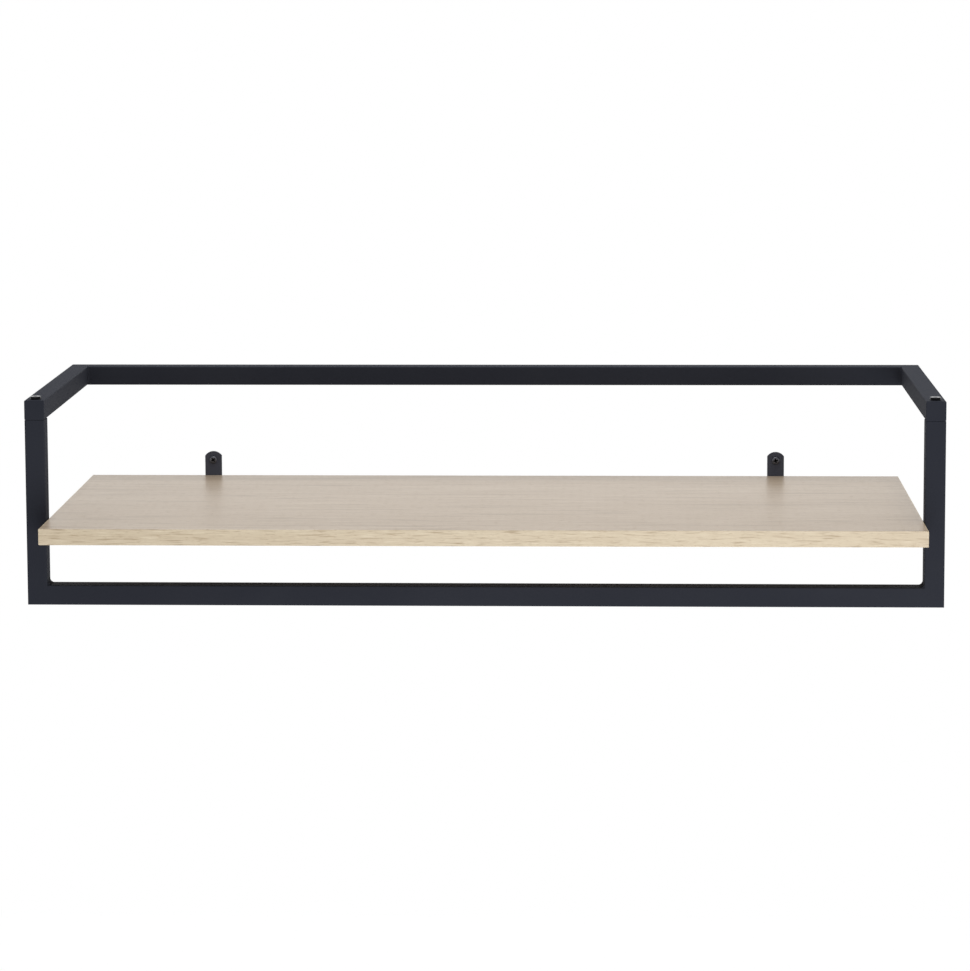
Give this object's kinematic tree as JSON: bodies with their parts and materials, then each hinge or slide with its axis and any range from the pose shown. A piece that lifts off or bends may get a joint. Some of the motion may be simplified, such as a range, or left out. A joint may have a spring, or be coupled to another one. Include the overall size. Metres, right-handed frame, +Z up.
{
  "type": "wall shelf",
  "caption": "Wall shelf with an oak-faced board hung in a black square-tube steel frame, with wall brackets behind the board and a hanging rail below it.",
  "frame": {"origin": "centre of the four wall screws, on the wall's surface", "axes": "+X along the shelf to the right as seen from the room, +Y into the wall, +Z up"},
  "size_m": [0.916, 0.3895, 0.21],
  "materials": {
    "black_coat": "satin black powder coat",
    "bracket_coat": "satin black powder coat",
    "black_bolt": "smooth black plated steel",
    "zinc_steel": "bright zinc plate",
    "oak_face": "pale oak decor, satin",
    "oak_band": "pale oak edge band, satin"
  },
  "bodies": {
    "root": {"rear_rail": "black_coat", "lower_rail": "black_coat", "left_arm": "black_coat", "right_arm": "black_coat", "left_arm_cap": "black_coat", "right_arm_cap": "black_coat", "left_post": "black_coat", "right_post": "black_coat", "left_lower_weld": "black_coat", "right_lower_weld": "black_coat", "left_upper_weld": "black_coat", "right_upper_weld": "black_coat", "left_board_lug": "black_coat", "right_board_lug": "black_coat", "left_post_plug": "zinc_steel", "right_post_plug": "zinc_steel", "left_frame_bolt": "black_bolt", "right_frame_bolt": "black_bolt", "left_wall_bracket": "bracket_coat", "right_wall_bracket": "bracket_coat", "left_tab_screw": "black_bolt", "right_tab_screw": "black_bolt", "left_rail_screw": "zinc_steel", "right_rail_screw": "zinc_steel", "left_bracket_screws": "zinc_steel", "right_bracket_screws": "zinc_steel", "left_lug_screw": "zinc_steel", "right_lug_screw": "zinc_steel", "board_core": "oak_face", "front_edge_band": "oak_band", "rear_edge_band": "oak_band", "left_edge_band": "oak_band", "right_edge_band": "oak_band"}
  },
  "joints": []
}
